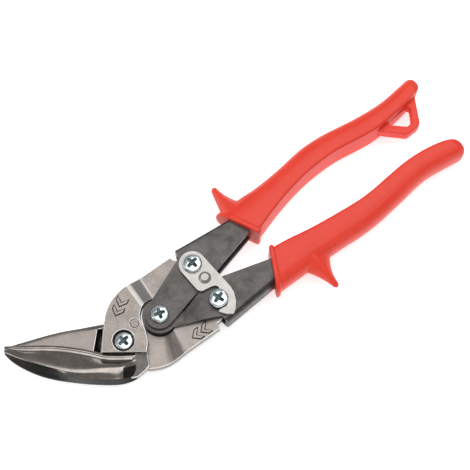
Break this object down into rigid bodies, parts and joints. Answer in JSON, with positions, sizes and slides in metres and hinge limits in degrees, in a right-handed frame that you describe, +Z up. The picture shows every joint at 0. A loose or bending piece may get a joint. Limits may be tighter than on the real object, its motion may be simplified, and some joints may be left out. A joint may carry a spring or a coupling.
{
  "type": "aviation snips",
  "caption": "Compound-action aviation snips: forged blades linked to channel handles with dipped grips, a return spring and a swing latch.",
  "frame": {"origin": "on the axis of the handle pivot, in the plane the snips lie on", "axes": "+X from the jaws to the grips along the centre line, +Y towards the upper handle, +Z up through the pivots, towards the screw heads"},
  "size_m": [0.2348, 0.0748, 0.0196],
  "materials": {
    "forged_blade": "blasted forged steel, ground and polished along the cutting jaw",
    "black_channel": "black oxide on pressed steel sheet, satin",
    "red_grip": "soft red vinyl, satin",
    "plated_latch": "satin nickel plated steel",
    "zinc_screw": "bright zinc plate",
    "pin_steel": "plain turned steel",
    "spring_wire": "drawn spring wire, oiled"
  },
  "bodies": {
    "upper_handle": {"upper_handle_channel": "black_channel", "upper_grip": "red_grip", "handle_pivot_screw": "zinc_screw", "handle_pivot_sleeve": "pin_steel", "handle_pivot_nut": "zinc_screw", "return_spring": "spring_wire", "latch_washer": "zinc_screw", "upper_link_screw": "zinc_screw", "upper_link_spacers": "pin_steel", "upper_link_nut": "zinc_screw"},
    "lower_handle": {"lower_handle_channel": "black_channel", "lower_grip": "red_grip", "lower_link_screw": "zinc_screw", "lower_link_spacers": "pin_steel", "lower_link_nut": "zinc_screw", "latch_catch_collar": "pin_steel"},
    "lower_blade": {"lower_blade": "forged_blade", "blade_stop_pin": "forged_blade", "blade_pivot_screw": "zinc_screw", "blade_pivot_washer": "zinc_screw", "blade_pivot_nut": "zinc_screw"},
    "upper_blade": {"upper_blade": "forged_blade"},
    "latch": {"latch": "plated_latch"}
  },
  "joints": [
    {"name": "handle_pivot", "type": "hinge", "parent": "upper_handle", "child": "lower_handle", "pos_m": [0, 0, 0.009], "axis": [0, 0, -1], "range_deg": [0, 28], "deforming": ["return_spring"]},
    {"name": "lower_blade_link", "type": "hinge", "parent": "upper_handle", "child": "lower_blade", "pos_m": [0.0255, 0.01025, 0.009], "axis": [0, 0, -1], "range_deg": [0, 6.6]},
    {"name": "upper_blade_link", "type": "hinge", "parent": "lower_handle", "child": "upper_blade", "pos_m": [0.0255, -0.01025, 0.009], "axis": [0, 0, 1], "range_deg": [0, 6.6]},
    {"name": "latch_pivot", "type": "hinge", "parent": "upper_handle", "child": "latch", "pos_m": [0.0255, 0.01025, 0.009], "axis": [0, 0, 1], "range_deg": [0, 80]}
  ],
  "couplings": [
    {"joint": "lower_blade_link", "follows": "handle_pivot", "ratio": 0.23},
    {"joint": "upper_blade_link", "follows": "handle_pivot", "ratio": 0.23},
    {"joint": "latch_pivot", "follows": "handle_pivot", "ratio": 2.8}
  ]
}
